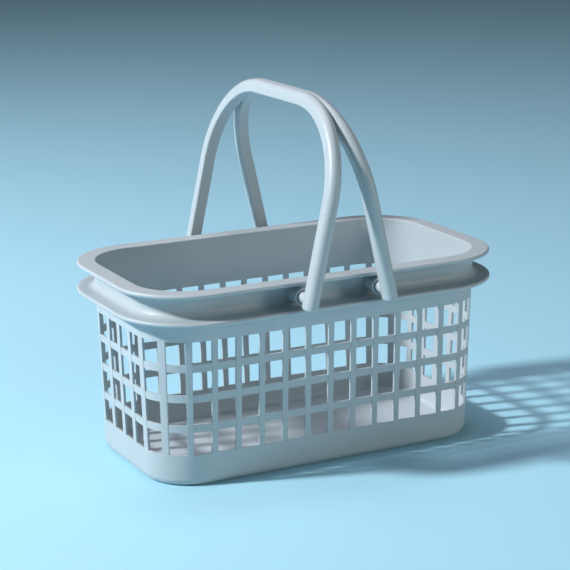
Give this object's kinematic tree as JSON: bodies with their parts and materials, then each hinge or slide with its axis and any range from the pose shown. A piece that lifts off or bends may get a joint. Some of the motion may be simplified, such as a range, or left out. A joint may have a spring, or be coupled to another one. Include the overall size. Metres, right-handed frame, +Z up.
{
  "type": "shower caddy basket",
  "caption": "Open-work rectangular carry basket with a double rim and a pair of arched bail handles that meet over the middle and fold down around the ends.",
  "frame": {"origin": "centre of the flat underside, on the surface the basket stands on", "axes": "+X along the long side towards the right handle's pivots, +Y across the basket, +Z up"},
  "size_m": [0.325, 0.2288, 0.2913],
  "materials": {
    "tub_plastic": "satin injection-moulded polypropylene, cool light grey",
    "handle_plastic": "satin injection-moulded polypropylene, the tub's cool light grey"
  },
  "bodies": {
    "tub": {"basket_tub": "tub_plastic"},
    "handle_left": {"left_handle": "handle_plastic"},
    "handle_right": {"right_handle": "handle_plastic"}
  },
  "joints": [
    {"name": "left_fold", "type": "hinge", "parent": "tub", "child": "handle_left", "pos_m": [-0.0335, 0, 0.1444], "axis": [0, -1, 0], "range_deg": [0, 137]},
    {"name": "right_fold", "type": "hinge", "parent": "tub", "child": "handle_right", "pos_m": [0.0335, 0, 0.1444], "axis": [0, 1, 0], "range_deg": [0, 137]}
  ]
}
